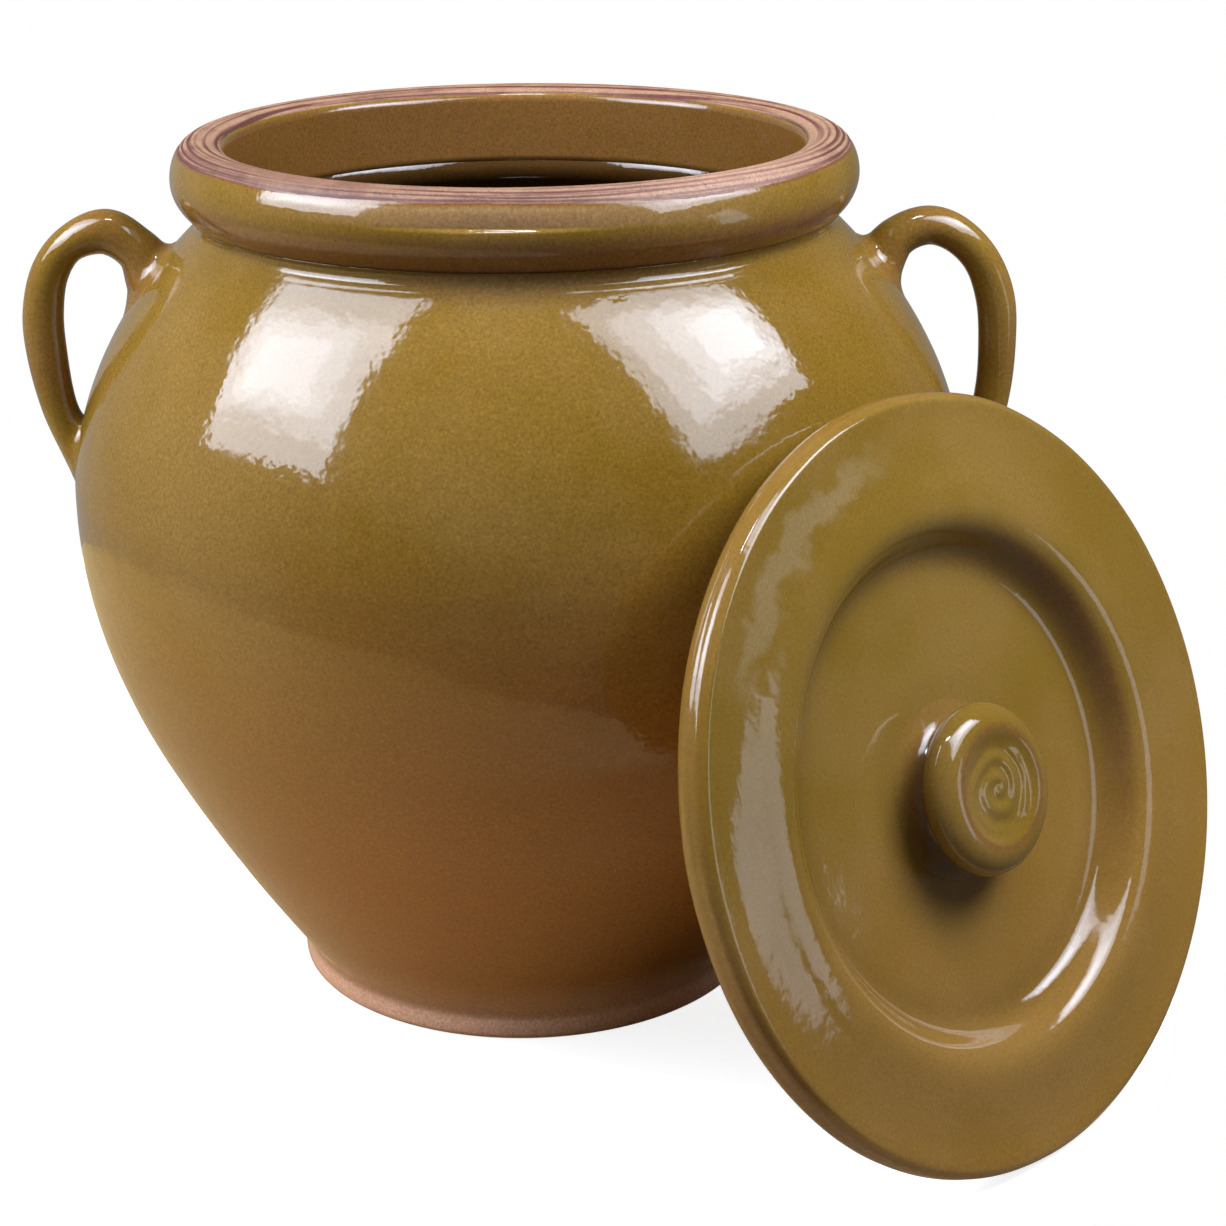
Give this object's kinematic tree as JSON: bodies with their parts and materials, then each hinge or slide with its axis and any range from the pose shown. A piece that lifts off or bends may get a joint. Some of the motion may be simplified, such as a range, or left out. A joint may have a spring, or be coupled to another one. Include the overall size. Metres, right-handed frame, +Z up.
{
  "type": "olive jar",
  "caption": "Round-bellied glazed stoneware jar with a thick rolled rim, ear handles and a flanged lid with a sunk knob, the lid off and leaning on the jar.",
  "frame": {"origin": "centre of the jar's foot, on the surface it stands on", "axes": "+Z up along the jar's axis, the two ear handles along X, -Y towards the viewer; the lid leans at the front right, between +X and -Y"},
  "size_m": [0.4144, 0.3913, 0.3085],
  "materials": {
    "glaze": "glossy olive-brown glaze with fine speckle",
    "bare_clay": "bare reddish fired clay on top, glazed on the outside"
  },
  "bodies": {
    "jar": {"jar_body": "glaze", "mouth_rim": "bare_clay", "handle_left": "glaze", "handle_right": "glaze"},
    "lid": {"lid_plate": "glaze", "lid_knob": "glaze"}
  },
  "joints": [
    {"name": "lid_lift", "type": "slide", "parent": "jar", "child": "lid", "axis": [0.6504, -0.6902, 0.3173], "range_m": [0, 0.16]}
  ]
}
